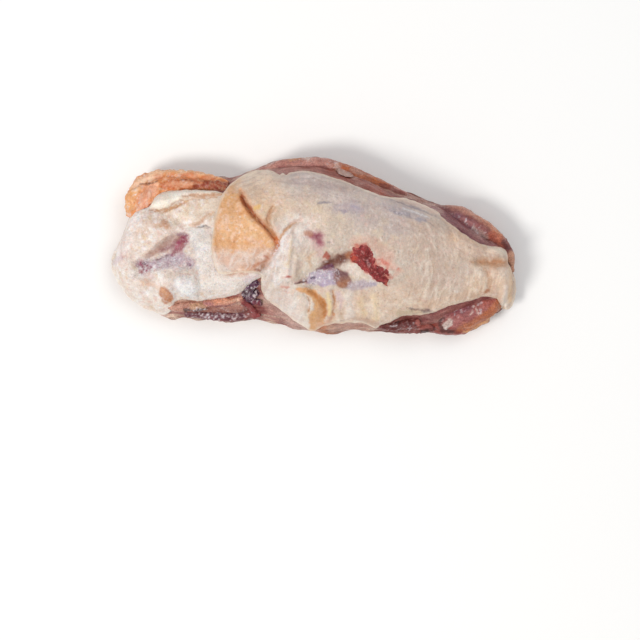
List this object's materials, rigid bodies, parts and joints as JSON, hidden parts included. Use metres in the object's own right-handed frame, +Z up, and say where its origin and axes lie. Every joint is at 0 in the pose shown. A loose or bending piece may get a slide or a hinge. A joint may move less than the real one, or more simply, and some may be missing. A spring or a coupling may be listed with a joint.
{
  "type": "chicken back",
  "caption": "Raw chicken back lying skin side up, with ribs, pelvis and tail, a fold of loose skin over the loin and an open body cavity underneath.",
  "frame": {"origin": "centre of the bounding box's bottom face, on the surface the piece lies on", "axes": "+X from the rib and neck end to the tail, +Y across the back, +Z up through the skin"},
  "size_m": [0.208, 0.0936, 0.0443],
  "materials": {
    "raw_chicken": "moist raw skin over meat, semi-gloss"
  },
  "bodies": {
    "root": {"chicken_back": "raw_chicken"}
  },
  "joints": []
}
